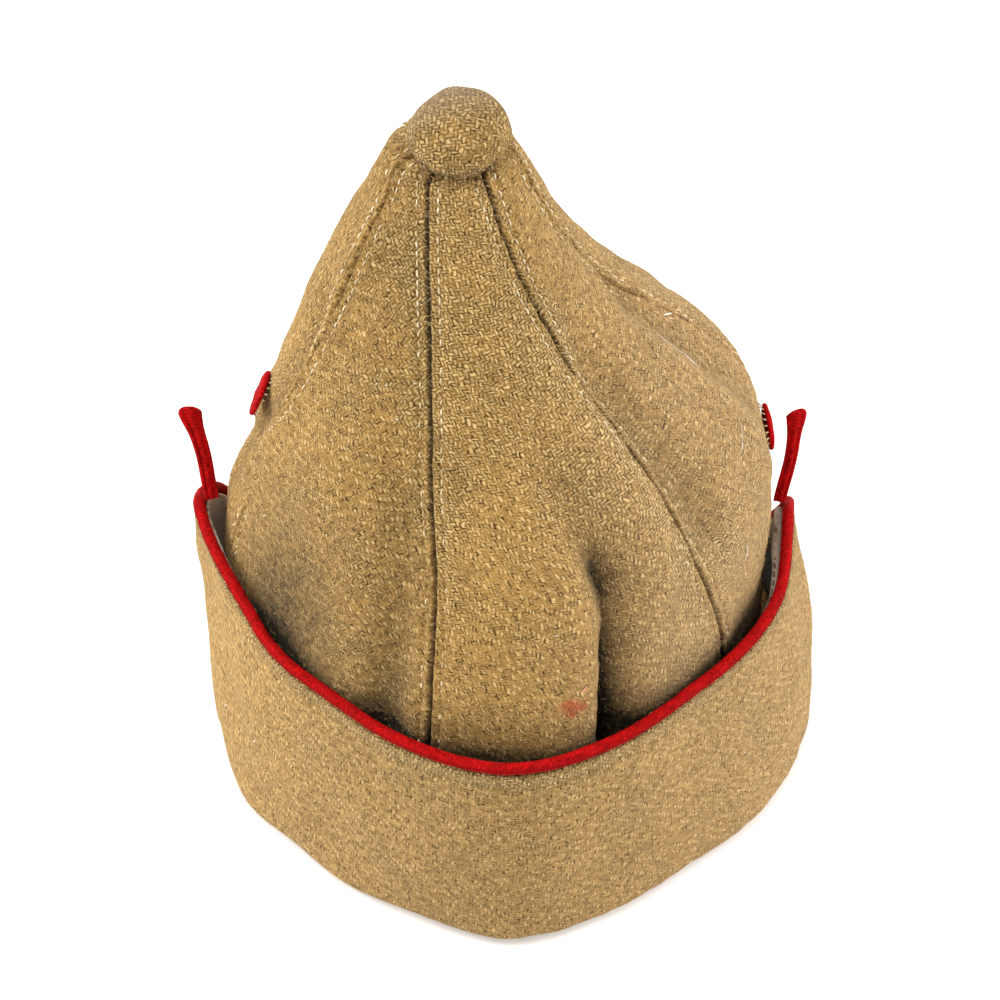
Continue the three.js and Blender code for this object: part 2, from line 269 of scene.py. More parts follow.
# Bits of thread and lint that lie on the cloth: their radius, and azimuth and height of
# their points
CROWN_LINT = [
    (0.35, [(105, 157), (107, 155)]),
    (0.22, [(63, 112), (63.5, 109), (63, 106)]),
    (0.1, [(94.5, 160), (94, 158), (92.5, 154), (95, 152), (93.5, 148)]),
    (0.1, [(95, 152), (92, 151), (91.5, 148)]),
    (0.1, [(80, 137), (77, 135), (73, 134)]),
]
SPECK_RADIUS = 0.22
CROWN_SPECKS = [
    (0, 106), (11, 119), (-32, 176), (-36, 175), (-22, 178), (-27, 169), (-72, 112), (-86, 134),
]
FLAP_SPECKS = [(73, 42), (69, 42), (47, 43), (31, 74), (-66, 32), (-53, 39)]
PINK_TICK = (0.25, [(16, 101), (15.5, 99.5)])

# How many loose fibres stand on each gore, in the order of GORES, and on the flap
CROWN_FIBRES = (1900, 1900, 1700, 400, 400, 600)
FLAP_FIBRES = (4000,)

# The peak, with its height at its root and at its tip and its two rows of topstitching
PEAK = {
    "half_angle": 54, "width": 190, "depth": 54, "ends": 5, "thick": 3.4, "root": 7.6, "tip": 4,
    "camber": 2.4, "rows": (3.5, 9),
}


def along(table, key, column, at):
    """Smooth curve through one column of a table, read at values of its key column."""
    x, y = table[key], table[column]
    rows = np.arange(len(x))
    before, after = np.maximum(rows - 1, 0), np.minimum(rows + 1, len(x) - 1)
    slope = (y[after] - y[before]) / (x[after] - x[before])
    at = np.clip(at, x[0], x[-1])
    i = np.clip(np.searchsorted(x, at, side="right") - 1, 0, len(x) - 2)
    step = x[i + 1] - x[i]
    t = (at - x[i]) / step
    t2, t3 = t * t, t * t * t
    return ((2 * t3 - 3 * t2 + 1) * y[i] + (t3 - 2 * t2 + t) * step * slope[i]
            + (3 * t2 - 2 * t3) * y[i + 1] + (t3 - t2) * step * slope[i + 1])


def ramp(low, high, at):
    """0 up to low, 1 from high, and smooth between them."""
    t = np.clip((at - low) / (high - low), 0, 1)
    return t * t * (3 - 2 * t)


def bell(away, reach):
    """1 where away is 0, falling smoothly to about 0 at twice the reach."""
    return np.exp(-((away / reach) ** 2))


def unit(vectors):
    """Vectors made 1 long."""
    return vectors / np.maximum(np.linalg.norm(vectors, axis=-1, keepdims=True), 1e-9)


def ripples(points, wavelength, waves=9):
    """Smooth unevenness from -1 to 1 over points, with about that wavelength."""
    total = np.zeros(points.shape[:-1])
    for _ in range(waves):
        way = unit(chance.normal(size=3)) * 2 * np.pi / wavelength * chance.uniform(0.7, 1.4)
        total += np.sin(points @ way + chance.uniform(0, 2 * np.pi))
    return total / np.sqrt(waves) * 0.8


def grid_normals(grid):
    """Outward directions of a grid whose columns run toward +azimuth and rows upward."""
    return unit(np.cross(np.gradient(grid, axis=1), np.gradient(grid, axis=0)))


def lengths(points, axis):
    """Distance from the first point along each line of points."""
    steps = np.linalg.norm(np.diff(points, axis=axis), axis=-1)
    start = np.zeros_like(np.take(steps, [0], axis=axis))
    return np.concatenate([start, np.cumsum(steps, axis=axis)], axis=axis)


def spaced(length, fine, coarse, edge, every=1):
    """Shares of a length, close together within an edge at both ends."""
    at = np.linspace(0, length, 600)
    near = np.minimum(at, length - at)
    step = fine + (coarse - fine) * ramp(0.5 * edge, 1.5 * edge, near)
    count = np.concatenate([[0], np.cumsum(np.diff(at) / (step[1:] + step[:-1]) * 2)])
    cells = int(np.ceil(count[-1] / every)) * every
    return np.interp(np.linspace(0, count[-1], cells + 1), count, at / length)


def around(az, r, z):
    """Places at azimuths, at those distances from the middle and heights."""
    angle = np.radians(az)
    return np.stack(np.broadcast_arrays(r * np.sin(angle), -r * np.cos(angle), z), axis=-1)


def crown_base(az, z):
    """Place on the plain crown, before its folds."""
    centre, back, front, left, right = (
        along(CROWN, "z", name, z) for name in ("centre", "back", "front", "left", "right"))
    side = np.sin(np.radians(az))
    half = np.where(side > 0, right - centre, centre - left)
    y = (back + front) / 2 - (front - back) / 2 * np.cos(np.radians(az))
    return np.stack(np.broadcast_arrays(centre + half * side, y, z), axis=-1)


def crown_axes(az, z):
    """Across the crown toward +azimuth, its outward direction, and millimetres per degree."""
    across = crown_base(az + 1, z) - crown_base(az - 1, z)
    rise = crown_base(az, z + 0.5) - crown_base(az, z - 0.5)
    return unit(across), unit(np.cross(across, rise)), np.linalg.norm(across, axis=-1) / 2


def beside(line, az, z, mm_per_degree):
    """Share along a line from its start, and signed distance from it, + toward its right."""
    shift = (az - line.az0 + 180) % 360 - 180
    run_x, run_z = (line.az1 - line.az0) * mm_per_degree, line.z1 - line.z0
    here_x, here_z = shift * mm_per_degree, z - line.z0
    length2 = run_x ** 2 + run_z ** 2
    t = np.clip((here_x * run_x + here_z * run_z) / length2, 0, 1)
    off_x, off_z = here_x - t * run_x, here_z - t * run_z
    turn = np.sign(run_z) * (off_x * run_z - off_z * run_x)
    return t, np.hypot(off_x, off_z), turn / np.sqrt(length2)


def fold_height(folds, az, z, mm_per_degree):
    """Height of folded cloth over its plain surface."""
    height = 0
    for fold in folds:
        t, away, signed = beside(fold, az, z, mm_per_degree)
        side = signed / np.maximum(away, 0.01)
        spread = fold.left + (fold.right - fold.left) * (0.5 + 0.5 * side)
        rise = fold.rise0 + (fold.rise1 - fold.rise0) * t
        height = height + rise * bell(away, spread)
    return height


def spots_at(spots, az, z, mm_per_degree):
    """Sum of soft round spots at places of the cloth."""
    total = 0
    for spot in spots:
        shift = ((az - spot.az + 180) % 360 - 180) * mm_per_degree
        total = total + spot.amount * np.exp(-(shift ** 2 + (z - spot.z) ** 2) / spot.reach ** 2)
    return total


def crown_point(az, z, depth=0):
    """Place in the crown's cloth, at a depth below its outer face."""
    across, out, mm_per_degree = crown_axes(az, z)
    lean = 0
    for lip in LIPS:
        t, away, signed = beside(lip, az, z, mm_per_degree)
        shift = lip.shift0 + (lip.shift1 - lip.shift0) * t
        lean = lean + shift * bell(away + 0.3 * np.sign(signed) * away, lip.spread)
    height = fold_height(FOLDS, az, z, mm_per_degree) - depth
    return crown_base(az, z) + out * height[..., None] + across * np.asarray(lean)[..., None]


def rim_radius(az):
    """Inner radius of the crown's lower edge."""
    rim = crown_point(az, np.full_like(az, CROWN["z"][0]), CLOTH)
    return np.hypot(rim[..., 0], rim[..., 1])


def over_crown(az, z, lift):
    """A place at that distance over the plain crown, and the outward direction there."""
    az, z = np.array(float(az)), np.array(float(z))
    out = crown_axes(az, z)[1]
    return crown_point(az, z) + out * lift, out


def walls_of(index):
    """Faces between neighbouring rings of points, by their numbers (..., rings, corners)."""
    after = np.roll(index, -1, axis=-1)
    corners = [index[..., :-1, :], after[..., :-1, :], after[..., 1:, :], index[..., 1:, :]]
    return np.stack(corners, axis=-1).reshape(-1, 4).tolist()


def quads_of(rows, cols, first=0, flip=False):
    """Faces of a grid of points, outward where columns run toward +azimuth and rows upward."""
    index = np.arange(rows * cols).reshape(rows, cols) + first
    corners = [index[:-1, :-1], index[:-1, 1:], index[1:, 1:], index[1:, :-1]]
    faces = np.stack(corners, axis=-1).reshape(-1, 4)
    return faces[:, ::-1] if flip else faces


def rim_of(rows, cols, first=0):
    """The points round a grid's rim, counter-clockwise from outside."""
    index = np.arange(rows * cols).reshape(rows, cols) + first
    return np.concatenate([index[0, :-1], index[:-1, -1], index[-1, :0:-1], index[:0:-1, 0]])


def shell(outer, inner, every, values):
    """A closed cloth: a fine outer face, an inner face with one point for `every` of it, and
    a rim that joins them. Values are given for each point of the outer grid."""
    rows, cols = outer.shape[:2]
    small_rows, small_cols = inner.shape[:2]
    first = rows * cols
    outside, inside = rim_of(rows, cols), rim_of(small_rows, small_cols, first)
    faces = quads_of(rows, cols).tolist() + quads_of(small_rows, small_cols, first, True).tolist()
    half = every // 2
    for j, corner in enumerate(inside):
        after = inside[(j + 1) % len(inside)]
        edge = [outside[(j * every + k) % len(outside)] for k in range(every + 1)]
        faces += [(edge[k + 1], edge[k], corner if k < half else after) for k in range(every)]
        faces.append((edge[half], corner, after))
    points = np.concatenate([outer.reshape(-1, 3), inner.reshape(-1, 3)])
    kept = {}
    for name, value in values.items():
        small = value[::every, ::every].reshape(len(points) - first, -1)
        kept[name] = np.concatenate([value.reshape(first, -1), small])
    return Part(points, faces, kept)


def tubes(paths, across, wide, thick, corners):
    """Rods along many paths of equal point counts, (paths, points, 3). Their section is an
    ellipse, wide along `across` and thick the other way, and it closes where they are 0."""
    count, steps = paths.shape[:2]
    run = unit(np.gradient(paths, axis=1))
    up = unit(np.cross(run, np.broadcast_to(across, paths.shape)))
    side = np.cross(up, run)
    turn = np.linspace(0, 2 * np.pi, corners, endpoint=False)
    wide = np.broadcast_to(wide, (count, steps))[..., None, None]
    thick = np.broadcast_to(thick, (count, steps))[..., None, None]
    rings = (paths[:, :, None] + side[:, :, None] * np.cos(turn)[:, None] * wide
             + up[:, :, None] * np.sin(turn)[:, None] * thick)
    index = np.arange(count * steps * corners).reshape(count, steps, corners)
    faces = walls_of(index) + index[:, 0, ::-1].tolist() + index[:, -1].tolist()
    return Part(rings.reshape(-1, 3), faces, {})


def turned(profile, sides):
    """A body turned about +Z from a profile of radius and height whose ends lie on the axis."""
    turn = np.linspace(0, 2 * np.pi, sides, endpoint=False)
    r, z = profile[1:-1, 0], profile[1:-1, 1]
    rings = np.stack(np.broadcast_arrays(
        r[:, None] * np.cos(turn), r[:, None] * np.sin(turn), z[:, None]), axis=-1)
    index = np.arange(len(r) * sides).reshape(len(r), sides)
    faces = walls_of(index)
    low, high = index.size, index.size + 1
    faces += [(low, b, a) for a, b in zip(index[0], np.roll(index[0], -1))]
    faces += [(high, a, b) for a, b in zip(index[-1], np.roll(index[-1], -1))]
    points = np.concatenate([rings.reshape(-1, 3), [(0, 0, profile[0, 1]), (0, 0, profile[-1, 1])]])
    return points, faces


def smooth_path(points, step):
    """Points at even steps on a smooth curve through a few points."""
    points = np.asarray(points, float)
    table = dict(zip("xyz", points.T), at=lengths(points, 0))
    fine = np.linspace(0, table["at"][-1], 2000)
    curve = np.stack([along(table, "at", name, fine) for name in "xyz"], axis=-1)
    length = lengths(curve, 0)
    at = np.linspace(0, length[-1], int(np.ceil(length[-1] / step)) + 1)
    return np.stack([np.interp(at, length, curve[:, i]) for i in range(3)], axis=-1)


def make_piece(name, parts, material, slot, *nodes):
    """One mesh of the cap from its parts, riding on the cap and standing for CAD nodes."""
    points, faces, first = [], [], 0
    names = sorted({key for part in parts for key in part.values})
    values = {key: [] for key in names}
    for part in parts:
        faces += [tuple(i + first for i in face) for face in part.faces] if first else part.faces
        points.append(part.points)
        first += len(part.points)
        for key in names:
            width = 3 if key == "cloth" else 1
            values[key].append(part.values.get(key, np.zeros((len(part.points), width))))
    mesh = bpy.data.meshes.new(name)
    mesh.from_pydata(((np.concatenate(points) + HEAD) * METRE).tolist(), [], faces)
    for key in names:
        kind, field = ("FLOAT_VECTOR", "vector") if key == "cloth" else ("FLOAT", "value")
        layer = mesh.attributes.new(key, kind, "POINT")
        layer.data.foreach_set(field, np.concatenate(values[key]).astype(np.float32).ravel())
    mesh.shade_smooth()
    mesh.materials.append(material)
    piece = bpy.data.objects.new(name, mesh)
    bpy.context.scene.collection.objects.link(piece)
    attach(piece, "root")
    if nodes:
        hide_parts(*nodes)


def seam_relief(away, depth):
    """Height of a gore's face by its distance from a seam: groove, its swollen lip, the
    allowance under the cloth, and the dip of the topstitch."""
    groove = -depth * bell(away, SEAM_WIDTH)
    lip = 0.4 * bell(away - 1.2, 0.7)
    beyond = away - STITCH_FROM_SEAM
    allowance = 0.4 * ramp(0.3, 1.6, away) * (1 - ramp(3, 6, beyond))
    dip = -0.5 * bell(beyond, 0.6)
    return groove + lip + allowance + dip


def seam_wear(away, depth, z):
    """How much further than its gore the cloth has felted by its distance from a seam, and
    the painted shade in its groove: low seams are rubbed smooth, and high ones keep their weave."""
    rubbed = (1 - depth / max(SEAM_DEPTHS.values())) * bell(away, 6)
    rubbed = rubbed + 0.7 * (1 - ramp(90, 150, z)) * bell(away - 2, 2)
    rubbed = rubbed - 0.35 * depth * ramp(110, 160, z) * bell(away, 7)
    return rubbed, 0.36 * depth * bell(away, 0.8)


def stitch_row(line, out, wear):
    """Stitches along a line of points on cloth: each a short thread that dives at both ends.
    They are sunk deeper and more are lost where they are worn, by a table of heights."""
    length = lengths(line, 0)
    starts = np.arange(STITCH_PITCH, length[-1] - 2 * STITCH_PITCH, STITCH_PITCH)
    height = np.interp(starts, length, line[:, 2])
    kept = chance.random(len(starts)) > along(wear, "z", "lost", height)
    starts, sunk = starts[kept], along(wear, "z", "sunk", height[kept])
    starts = starts + chance.normal(0, 0.12, len(starts))
    share = np.linspace(0, 1, 6)
    long = STITCH_LENGTH * chance.uniform(0.85, 1.12, len(starts))
    at = starts[:, None] + long[:, None] * share
    lift = THREAD * np.sin(share * np.pi) ** 0.5 * 1.5 - 0.25 * np.abs(2 * share - 1) ** 3 - sunk[:, None]
    place, way = (np.stack([np.interp(at, length, v[:, i]) for i in range(3)], axis=-1) for v in (line, out))
    side = unit(np.cross(np.gradient(place, axis=1), way))
    slant = chance.normal(0, 0.16, len(starts))[:, None, None] * (share - 0.5)[:, None]
    radius = THREAD * np.array([0.5, 0.95, 1, 1, 0.95, 0.5])
    return tubes(place + way * lift[..., None] + side * slant, side, radius, radius, 6)


def turned_cloth(along_x, along_y, degrees):
    """Places in the flat cloth, whose weft is turned from the horizontal by so many degrees."""
    cos, sin = np.cos(np.radians(degrees)), np.sin(np.radians(degrees))
    return np.stack(np.broadcast_arrays(
        along_x * cos + along_y * sin, along_y * cos - along_x * sin, 0), axis=-1)


def gore(cut, stitches, skins):
    """One gore between two seams, with its edges turned in and topstitched."""
    bottom, top = CROWN["z"][[0, -1]]
    z_fine = bottom + (top - bottom) * np.sin(np.linspace(0, np.pi / 2, 700))
    start = along(SEAMS, "z", cut.start, z_fine)
    middle = start + (along(SEAMS, "z", cut.end, z_fine) - start) % 360 / 2
    meridian = lengths(crown_base(middle, z_fine), 0)
    level = spaced(meridian[-1], 0.5 * cut.cell, 0.8 * cut.cell, 3, 4) * meridian[-1]
    z = np.interp(level, meridian, z_fine)[:, None]
    start = along(SEAMS, "z", cut.start, z)
    width = (along(SEAMS, "z", cut.end, z) - start) % 360
    widest = np.max(width * crown_axes(start + width / 2, z)[2])
    share = spaced(widest, 0.36 * cut.cell, 0.85 * cut.cell, 6, 4)
    az = start + width * share
    z = np.broadcast_to(z, az.shape)
    plain = crown_point(az, z)
    out = grid_normals(plain)
    mm_per_degree = crown_axes(az, z)[2]
    run = lengths(plain, 1)
    to_start, to_end = run, run[:, -1:] - run
    nearer = np.minimum(to_start, to_end)
    # Relief: the gore swells between its seams, and its cloth is uneven and puckered
    ragged = 0.22 * ripples(plain, 5)
    rise = (z - bottom) / (top - bottom)
    pillow = 1.4 * np.sin(share * np.pi) * 2 * rise * np.sqrt(1 - np.minimum(rise, 1) ** 2)
    uneven = 0.28 * ripples(plain, 17) + 0.14 * ripples(plain, 7)
    pucker = 0.12 * np.sin(level[:, None] * 2 * np.pi / STITCH_PITCH)
    lift = pillow + uneven + pucker * bell(nearer - STITCH_FROM_SEAM, 1.5)
    felt, soil = cut.felt, cut.grime
    # Each seam adds felt, and painted shade along its groove
    for seam, away in ((cut.start, to_start), (cut.end, to_end)):
        lift = lift + seam_relief(away + ragged * ramp(0, 1, away), SEAM_DEPTHS[seam])
        rubbed, grime = seam_wear(away, SEAM_DEPTHS[seam], z)
        felt, soil = felt + rubbed, soil + grime
    outer = plain + out * lift[..., None]
    turned_in = 1.1 * (1 - ramp(8, 8.8, nearer))
    inner = (plain - out * (CLOTH - pillow + turned_in)[..., None])[::4, ::4]
    # Painted shade darkens the creases and, at the back, the trough behind the flap; the cloth is also darker
    # toward the top
    crease = np.clip(-fold_height(FOLDS, az, z, mm_per_degree) / 10.5, 0, 1) ** 1.5
    trough = 0.22 * (1 - ramp(78, 96, z)) + 0.6 * (1 - ramp(77, 83, z))
    soil = soil + crease + 0.12 * ramp(140, 215, z) + trough * (1 - ramp(58, 78, np.abs(az)))
    felt = felt + spots_at(cut.spots, az, z, mm_per_degree)
    smear = spots_at(PAINT, az, z, mm_per_degree) + 0.22 * ripples(plain, 2.4)
    skins.append(Skin(az, z, outer, out))
    rows = np.arange(len(level))
    for row in (to_start, to_end):
        at = np.argmin(np.abs(row - STITCH_FROM_SEAM), axis=1)
        stitches.append(stitch_row(outer[rows, at], out[rows, at], SEAM_STITCHES))
    return shell(outer, inner, 4, {
        "cloth": turned_cloth(run - run[:, -1:] / 2, level[:, None], cut.turn),
        "felt": np.clip(felt, 0, 1),
        "soil": np.clip(soil, 0, 1),
        "paint": ramp(0.35, 0.75, smear),
        # Dust, and painted cool light, toward the right side
        "dust": 0.2 * ramp(-10, 60, outer[..., 0]),
    })


def flap_surface(share, row):
    """Places on the flap's outer face: share from its left front edge to its right one, and
    rows of its section."""
    z = along(SECTION, "row", "z", row)
    end = along(FLAP_END, "z", "az", z)
    az = end * (2 * share - 1) - LEFT_END_LONGER * (1 - share)
    r = (rim_radius(az) * along(SECTION, "row", "rim", row)
         + along(FLAP, "az", "fold", az) * along(SECTION, "row", "fold", row)
         + along(FLAP, "az", "edge", az) * along(SECTION, "row", "edge", row)
         + WALL_BOW * along(SECTION, "row", "bow", row))
    return around(az, r, z), az, np.broadcast_to(z, az.shape)


def flap_rows(first, fine, coarse, every):
    """Rows of the section at even distances, close together near the edges."""
    rows = np.linspace(first, FLAP_ROWS, 500)
    length = lengths(flap_surface(np.full(500, 0.5), rows)[0], 0)
    return np.interp(spaced(length[-1], fine, coarse, 4, every) * length[-1], length, rows)[:, None]


def round_over(away, half):
    """How far each face sinks toward the middle of the cloth at a rounded edge."""
    near = 1 - np.clip(away / half, 0, 1)
    return half * (1 - np.sqrt(1 - near ** 2))


def flap_cloth(felt, skins):
    """The flap's cloth, from the crown's edge under the fold and up to its hemmed edge."""
    row = flap_rows(0, 0.4, 0.9, 4)
    share = spaced(FLAP_LENGTH, 0.4, 0.95, 4, 4)[None]
    plain, az, z = flap_surface(share, row)
    out = grid_normals(plain)
    up, run = lengths(plain, 0), lengths(plain, 1)
    to_edge = up[-1:] - up
    to_end = np.minimum(run, run[:, -1:] - run)
    mm_per_degree = np.linalg.norm(plain[..., :2], axis=-1) * np.pi / 180
    wall = ramp(8, 20, z)
    sink = round_over(np.minimum(to_edge, to_end), CLOTH / 2)
    hem = 0.45 * bell(to_edge - 2.6, 1.8) - 0.4 * bell(to_edge - 6, 1.2)
    uneven = 0.5 * ripples(plain, 42) + 0.22 * ripples(plain, 16) + 0.08 * ripples(plain, 6)
    dents = fold_height(FLAP_FOLDS, az, z, mm_per_degree) * wall
    lift = (uneven + dents) * ramp(0, 10, to_edge) * ramp(0, 12, up) + hem - sink
    outer = plain + out * lift[..., None]
    outer[..., 2] = np.maximum(outer[..., 2], 0)
    inner = (plain - out * (CLOTH - sink - np.minimum(lift + sink, 0))[..., None])[::4, ::4]
    smooth = felt * ramp(4.5, 9, to_edge + 0.8 * ripples(plain, 9))
    # Painted shade along the edge under the piping and in the hem's dip; the cloth is also darker round the
    # middle of the back
    soil = 0.35 * bell(to_edge, 1.2) + 0.1 * bell(to_edge - 6, 1.6) + 0.17 * bell(az + 15, 45)
    skins.append(Skin(az, z, outer, out))
    return shell(outer, inner, 4, {
        "cloth": turned_cloth(run - run[:, -1:] / 2, up, 0),
        "felt": smooth,
        "soil": np.clip(soil, 0, 1),
        # Dust, and painted cool light, toward the right end
        "dust": 0.1 * ramp(0, 60, az),
    })


def flap_lining():
    """The flannel inside the flap's wall, darkened by painted shade from the trough except high up near its
    two ends.
    """
    row = flap_rows(FLANNEL_FIRST_ROW, 0.5, 1.5, 4)
    share = spaced(FLANNEL_LENGTH, 0.6, 1.5, 4, 4)[None]
    plain, az, z = flap_surface(share, row)
    out = grid_normals(plain)
    up, run = lengths(plain, 0), lengths(plain, 1)
    to_side = np.minimum(up[-1:] - up, np.minimum(run, run[:, -1:] - run))
    thick = along(FLANNEL, "az", "thick", az)
    sink = round_over(to_side, thick / 2)
    back = CLOTH + FLANNEL_GAP + sink
    front = CLOTH + FLANNEL_GAP + thick - sink - 0.25 * ripples(plain, 14) * ramp(0, 3, to_side)
    cloth = turned_cloth(-run, up, 0)[:, ::-1]
    toward_head = (plain - out * front[..., None])[:, ::-1]
    toward_flap = (plain - out * back[..., None])[:, ::-1][::4, ::4]
    soil = (1 - ramp(25, 50, z) * ramp(60, 72, np.abs(az)))[:, ::-1]
    return shell(toward_head, toward_flap, 4, {"cloth": cloth, "soil": soil})


def piping_path():
    """The free edge of the flap: up one front edge, round the back and down the other."""
    climb = np.arange(6.0, FLAP_ROWS)
    back = np.linspace(0, 1, 25)
    rows = np.concatenate([climb, np.full(len(back), float(FLAP_ROWS)), climb[::-1]])
    shares = np.concatenate([np.zeros(len(climb)), back, np.ones(len(climb))])
    edge = flap_surface(shares, rows)[0]
    # Directions are read a little inside the edges, where the surface goes on all round
    shares, rows = np.clip(shares, 0.004, 0.996), np.minimum(rows, FLAP_ROWS - 0.1)
    inside, below, farther = (
        flap_surface(shares + right, rows - down)[0] for right, down in ((0, 0), (0, 0.05), (0.002, 0)))
    out = unit(np.cross(farther - inside, inside - below))
    beyond = unit(np.cross(out, np.gradient(edge, axis=0)))
    return smooth_path(edge - out * (CLOTH / 2 + 0.25) + beyond * (PIPING_RADIUS - 0.35), 0.5)


def piping():
    """The red piping along the flap's free edge, rounded off at both ends."""
    path = piping_path()
    length = lengths(path, 0)
    ends = np.minimum(length, length[-1] - length)
    radius = PIPING_RADIUS * np.sqrt(np.clip(1 - (1 - np.clip(ends / 1.8, 0.02, 1)) ** 2, 0, 1))
    radius = radius * (1 + 0.035 * ripples(path, 9) + 0.02 * ripples(path, 3))
    across = unit(path * np.array([1, 1, 0]))
    part = tubes(path[None], across[None], radius, radius, PIPING_CORNERS)
    girth = np.arange(PIPING_CORNERS) / PIPING_CORNERS * 2 * np.pi * PIPING_RADIUS
    return part._replace(values={"cloth": turned_cloth(length[:, None], girth, 0).reshape(-1, 3)})


def loop(base, tip, wide, slant):
    """A loop of red cloth: a strap rolled into two strands with a groove between them, folded
    over at the tip. The tip is cut at a slant: its +X side stands higher by that share."""
    base, tip = np.array(base, float), np.array(tip, float)
    run = tip - base
    root = base - run * 0.03
    across = unit(np.array([1, 0, 0]) - run * run[0] / (run @ run))
    lead = np.cross(unit(run), across)
    t = np.concatenate([np.linspace(0, 0.9, 70), 0.9 + 0.1 * np.sin(np.linspace(0, np.pi / 2, 24))[1:]])
    half, thick, groove = (along(LOOP_SECTION, "at", name, t) for name in ("half", "thick", "groove"))
    near_tip = np.sqrt(np.clip(1 - (np.clip(t - 0.92, 0, 0.08) / 0.08) ** 2, 0, 1))
    half, thick = half * wide * (0.25 + 0.75 * near_tip), thick * (0.1 + 0.9 * near_tip)
    turn = np.linspace(0, 2 * np.pi, LOOP_CORNERS, endpoint=False)
    x = np.cos(turn) * half[:, None]
    valleys = bell(np.cos(turn) + 0.38, 0.16) + 0.8 * bell(np.cos(turn) - 0.52, 0.13)
    y = np.sin(turn) * thick[:, None] * (1 - groove[:, None] * valleys)
    bow = 0.9 * np.sin(np.clip(t, 0, 1) * np.pi) ** 2
    middle = root + (tip - root) * t[:, None] + across * bow[:, None]
    rise = slant * x * ramp(0.86, 1, t)[:, None]
    rings = middle[:, None] + across * x[..., None] + lead * y[..., None] + unit(run) * rise[..., None]
    rings = rings + lead * 0.12 * ripples(rings, 5)[..., None]
    index = np.arange(rings[..., 0].size).reshape(rings.shape[:2])
    faces = walls_of(index) + [index[0, ::-1].tolist(), index[-1].tolist()]
    cloth = turned_cloth(lengths(middle, 0)[:, None], turn * 2.5, 0)
    # Painted shade in the groove between the two strands on the loop's face
    soil = 0.8 * groove[:, None] * valleys * (np.sin(turn) > 0)
    return Part(rings.reshape(-1, 3), faces, {"cloth": cloth.reshape(-1, 3), "soil": soil.reshape(-1, 1)})


def placed(points, spot, out):
    """Points whose +Z is turned to a direction and set at a spot."""
    side = unit(np.cross([0, 0, 1], out)) if abs(out[2]) < 0.999 else np.array([1.0, 0, 0])
    other = np.cross(out, side)
    return spot + points[:, :1] * side + points[:, 1:2] * other + points[:, 2:] * out


def side_button(az, z, lift):
    """A flat button covered in red cloth, on the side of the crown."""
    profile = smooth_path(BUTTON_SECTION, 0.3)
    points, faces = turned(profile[:, :2], BUTTON_SIDES)
    points[:, 2] += 0.12 * ripples(points, 5) * (points[:, 2] > 0.8)
    return Part(placed(points, *over_crown(az, z, lift)), faces, {"cloth": points})


def top_knob():
    """The cloth-covered button at the point, gathered in under its rim."""
    profile = smooth_path(KNOB_SECTION, 0.45)
    points, faces = turned(profile[:, :2], KNOB_SIDES)
    turn = np.arctan2(points[:, 1], points[:, 0])
    low = 1 - ramp(1.5, 5, points[:, 2])
    gathers = np.sin(turn * 15 + 1.3 * np.sin(turn * 2)) * 0.35 + np.sin(turn * 9 + 1) * 0.3
    wide = ramp(4, 12, np.hypot(points[:, 0], points[:, 1]))
    points[:, :2] *= (1 + (gathers * low * wide / 16 + 0.012 * ripples(points, 14)))[:, None]
    points[:, 2] += 0.35 * ripples(points, 12) * wide * (points[:, 2] > 0)
    corner = bell(turn - np.radians(140), 0.55)
    points[:, :2] *= (1 - 0.09 * corner * wide)[:, None]
    points[:, 1] *= KNOB_LONGER
    # The cloth is flat on top and stretched down the sides
    down = np.arccos(np.clip(points[:, 2] / KNOB_TOP, -0.5, 1))
    spread = 0.85 * (11 * down + 0.45 * np.hypot(points[:, 0], points[:, 1]))
    values = {
        "cloth": turned_cloth(np.cos(turn) * spread, np.sin(turn) * spread, 0),
        "felt": (0.1 + 0.25 * ramp(2, 14, points[:, 0]))[:, None],
        # Darker all over, and painted shade in the gathers under the rim
        "soil": (0.28 + 0.3 * low * wide)[:, None],
        "dust": (0.35 * ramp(-4, 10, points[:, 1] - 0.4 * points[:, 0]))[:, None],
    }
    tilt = np.radians(KNOB_TILT)
    turned_y = points[:, 1] * np.cos(tilt) - points[:, 2] * np.sin(tilt)
    turned_z = points[:, 1] * np.sin(tilt) + points[:, 2] * np.cos(tilt)
    return Part(np.stack([points[:, 0], turned_y, turned_z], axis=-1) + KNOB, faces, values)


def peak(stitches):
    """The stiff peak, rooted under the front of the crown, topstitched along its edge."""
    share = spaced(PEAK["width"], 0.5, 1.3, 5, 4)[None]
    reach_share = spaced(PEAK["depth"], 0.5, 1.1, 4, 4)[:, None]
    az = 180 + PEAK["half_angle"] * (1 - 2 * share)
    reach = PEAK["ends"] + (PEAK["depth"] - PEAK["ends"]) * np.sin(share * np.pi)
    bulge = PEAK["camber"] * np.sin(reach_share * np.pi) ** 2 * np.sin(share * np.pi)
    z = PEAK["root"] + (PEAK["tip"] - PEAK["root"]) * reach_share + bulge
    plain = around(az, rim_radius(az) + reach * reach_share, z)
    out = grid_normals(plain)
    run, deep = lengths(plain, 1), lengths(plain, 0)
    to_edge = np.minimum(deep[-1:] - deep, np.minimum(run, run[:, -1:] - run))
    sink = round_over(to_edge, PEAK["thick"] / 2)
    dips = sum(-0.35 * bell(to_edge - away, 0.7) for away in PEAK["rows"])
    lift = dips - sink + 0.2 * ripples(plain, 20)
    outer = plain + out * lift[..., None]
    inner = (plain - out * (PEAK["thick"] - sink)[..., None])[::4, ::4]
    for away in PEAK["rows"]:
        at = np.argmin(np.abs(deep[-1:] - deep - away), axis=0)
        cols = np.arange(len(at))
        inside = (run[0] > away) & (run[0, -1] - run[0] > away) & (deep[-1] > away + 2)
        stitches.append(stitch_row(outer[at, cols][inside], out[at, cols][inside], PEAK_STITCHES))
    cloth = turned_cloth(run - run[:, -1:] / 2, deep, 0)
    return shell(outer, inner, 4, {"cloth": cloth, "felt": np.full(run.shape, 0.8)})


